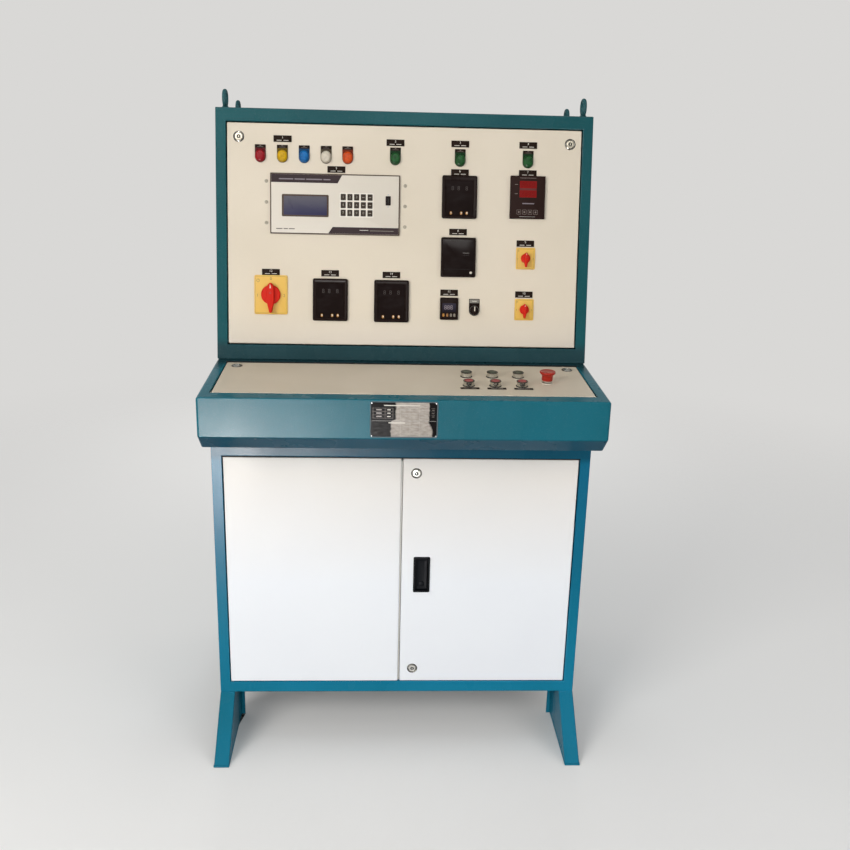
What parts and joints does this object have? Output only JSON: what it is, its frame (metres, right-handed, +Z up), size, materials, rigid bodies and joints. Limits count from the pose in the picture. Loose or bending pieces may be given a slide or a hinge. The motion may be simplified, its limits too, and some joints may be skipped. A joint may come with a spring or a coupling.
{
  "type": "transformer testing panel",
  "caption": "Free-standing teal test desk: cabinet with doors on kicked feet, desk with hinged lid and buttons, and a leaning console whose instrument door carries meters, lamps and switches.",
  "frame": {"origin": "on the floor under the middle of the overall box", "axes": "+Z up, the front with the doors and instruments faces -Y, +X to the right seen from the front"},
  "size_m": [0.95, 0.885, 1.6689],
  "materials": {
    "teal_paint": "textured powder coat, satin",
    "cream_paint": "smooth satin powder coat",
    "white_paint": "smooth satin powder coat",
    "zinc_steel": "zinc plated",
    "black_plastic": "moulded, fine texture",
    "grey_plastic": "moulded, satin",
    "yellow_plastic": "moulded, slightly glossy",
    "red_plastic": "moulded, glossy",
    "green_plastic": "moulded, translucent cap",
    "lens_red": "translucent moulded lens",
    "lens_yellow": "translucent moulded lens",
    "lens_blue": "translucent moulded lens",
    "lens_white": "translucent moulded lens",
    "lens_orange": "translucent moulded lens",
    "lens_green": "translucent moulded lens"
  },
  "bodies": {
    "stand": {"cabinet_shell": "teal_paint", "cabinet_rear_cover": "teal_paint", "desk_housing": "teal_paint", "console_shell": "teal_paint", "console_rear_cover": "teal_paint", "foot_front_left": "teal_paint", "foot_front_right": "teal_paint", "foot_rear_left": "teal_paint", "foot_rear_right": "teal_paint", "eyebolt_front_left": "teal_paint", "eyebolt_front_right": "teal_paint", "eyebolt_rear_left": "teal_paint", "eyebolt_rear_right": "teal_paint", "mounting_plate": "zinc_steel", "left_hinge_rod": "zinc_steel", "right_hinge_rod": "zinc_steel", "instrument_hinge_rod": "zinc_steel", "main_breaker": "black_plastic", "contactor": "grey_plastic", "terminal_strip": "grey_plastic"},
    "left_door": {"left_door": "white_paint"},
    "right_door": {"right_door": "white_paint", "door_pull_handle": "black_plastic"},
    "desk_lid": {"desk_lid": "cream_paint"},
    "instrument_door": {"instrument_door": "cream_paint", "ratio_analyser": "grey_plastic", "meter_upper": "black_plastic", "controller_upper": "black_plastic", "meter_middle": "black_plastic", "meter_lower_left": "black_plastic", "meter_lower_middle": "black_plastic", "timer_relay": "black_plastic", "main_switch": "yellow_plastic", "upper_switch": "yellow_plastic", "lower_switch": "yellow_plastic", "lamp_red": "lens_red", "lamp_yellow": "lens_yellow", "lamp_blue": "lens_blue", "lamp_white": "lens_white", "lamp_orange": "lens_orange", "lamp_green_left": "lens_green", "lamp_green_middle": "lens_green", "lamp_green_right": "lens_green"},
    "upper_door_latch": {"upper_door_latch": "zinc_steel"},
    "lower_door_latch": {"lower_door_latch": "zinc_steel"},
    "lid_latch_left": {"lid_latch_left": "zinc_steel"},
    "lid_latch_right": {"lid_latch_right": "zinc_steel"},
    "instrument_latch_left": {"instrument_latch_left": "zinc_steel"},
    "instrument_latch_right": {"instrument_latch_right": "zinc_steel"},
    "button_front_left": {"button_front_left": "red_plastic"},
    "button_front_middle": {"button_front_middle": "red_plastic"},
    "button_front_right": {"button_front_right": "red_plastic"},
    "button_rear_left": {"button_rear_left": "green_plastic"},
    "button_rear_middle": {"button_rear_middle": "green_plastic"},
    "button_rear_right": {"button_rear_right": "green_plastic"},
    "emergency_stop": {"emergency_stop": "red_plastic"},
    "main_switch_knob": {"main_switch_knob": "red_plastic"},
    "upper_switch_knob": {"upper_switch_knob": "red_plastic"},
    "lower_switch_knob": {"lower_switch_knob": "red_plastic"},
    "selector_knob": {"selector_knob": "black_plastic"}
  },
  "joints": [
    {"name": "left_door_swing", "type": "hinge", "parent": "stand", "child": "left_door", "pos_m": [-0.4405, -0.267, 0.161], "axis": [0, 0, -1], "range_deg": [0, 105]},
    {"name": "right_door_swing", "type": "hinge", "parent": "stand", "child": "right_door", "pos_m": [0.4405, -0.267, 0.161], "axis": [0, 0, 1], "range_deg": [0, 105]},
    {"name": "desk_lid_lift", "type": "hinge", "parent": "stand", "child": "desk_lid", "pos_m": [0, -0.39382, 0.99238], "axis": [-1, 0, 0], "range_deg": [-70, 0]},
    {"name": "instrument_door_drop", "type": "hinge", "parent": "stand", "child": "instrument_door", "pos_m": [0, -0.10601, 1.05334], "axis": [1, 0, 0], "range_deg": [0, 60]},
    {"name": "upper_door_latch_turn", "type": "hinge", "parent": "right_door", "child": "upper_door_latch", "pos_m": [0.036, -0.2725, 0.757], "axis": [0, 1, 0], "range_deg": [0, 90]},
    {"name": "lower_door_latch_turn", "type": "hinge", "parent": "right_door", "child": "lower_door_latch", "pos_m": [0.036, -0.2725, 0.202], "axis": [0, -1, 0], "range_deg": [0, 90]},
    {"name": "instrument_latch_left_turn", "type": "hinge", "parent": "instrument_door", "child": "instrument_latch_left", "pos_m": [-0.417, -0.02295, 1.55605], "axis": [0, -0.9848, 0.1736], "range_deg": [0, 90]},
    {"name": "instrument_latch_right_turn", "type": "hinge", "parent": "instrument_door", "child": "instrument_latch_right", "pos_m": [0.417, -0.02295, 1.55605], "axis": [0, 0.9848, -0.1736], "range_deg": [0, 90]},
    {"name": "lid_latch_left_turn", "type": "hinge", "parent": "desk_lid", "child": "lid_latch_left", "pos_m": [-0.417, -0.18045, 1.00614], "axis": [0, -0.0387, 0.9993], "range_deg": [0, 90]},
    {"name": "lid_latch_right_turn", "type": "hinge", "parent": "desk_lid", "child": "lid_latch_right", "pos_m": [0.417, -0.18045, 1.00614], "axis": [0, 0.0387, -0.9993], "range_deg": [0, 90]},
    {"name": "button_front_left_press", "type": "slide", "parent": "desk_lid", "child": "button_front_left", "axis": [0, 0.0387, -0.9993], "range_m": [0, 0.004], "stiffness_N_per_m": 800, "springref_m": -0.002},
    {"name": "button_front_middle_press", "type": "slide", "parent": "desk_lid", "child": "button_front_middle", "axis": [0, 0.0387, -0.9993], "range_m": [0, 0.004], "stiffness_N_per_m": 800, "springref_m": -0.002},
    {"name": "button_front_right_press", "type": "slide", "parent": "desk_lid", "child": "button_front_right", "axis": [0, 0.0387, -0.9993], "range_m": [0, 0.004], "stiffness_N_per_m": 800, "springref_m": -0.002},
    {"name": "button_rear_left_press", "type": "slide", "parent": "desk_lid", "child": "button_rear_left", "axis": [0, 0.0387, -0.9993], "range_m": [0, 0.004], "stiffness_N_per_m": 800, "springref_m": -0.002},
    {"name": "button_rear_middle_press", "type": "slide", "parent": "desk_lid", "child": "button_rear_middle", "axis": [0, 0.0387, -0.9993], "range_m": [0, 0.004], "stiffness_N_per_m": 800, "springref_m": -0.002},
    {"name": "button_rear_right_press", "type": "slide", "parent": "desk_lid", "child": "button_rear_right", "axis": [0, 0.0387, -0.9993], "range_m": [0, 0.004], "stiffness_N_per_m": 800, "springref_m": -0.002},
    {"name": "emergency_stop_press", "type": "slide", "parent": "desk_lid", "child": "emergency_stop", "axis": [0, 0.0387, -0.9993], "range_m": [0, 0.004]},
    {"name": "main_switch_knob_turn", "type": "hinge", "parent": "instrument_door", "child": "main_switch_knob", "pos_m": [-0.3378, -0.09078, 1.17139], "axis": [0, 0.9848, -0.1736], "range_deg": [-90, 90]},
    {"name": "upper_switch_knob_turn", "type": "hinge", "parent": "instrument_door", "child": "upper_switch_knob", "pos_m": [0.31131, -0.07293, 1.2726], "axis": [0, 0.9848, -0.1736], "range_deg": [-60, 60]},
    {"name": "lower_switch_knob_turn", "type": "hinge", "parent": "instrument_door", "child": "lower_switch_knob", "pos_m": [0.31131, -0.09553, 1.14441], "axis": [0, 0.9848, -0.1736], "range_deg": [-60, 60]},
    {"name": "selector_knob_turn", "type": "hinge", "parent": "instrument_door", "child": "selector_knob", "pos_m": [0.18215, -0.09632, 1.13998], "axis": [0, 0.9848, -0.1736], "range_deg": [-45, 45]}
  ]
}
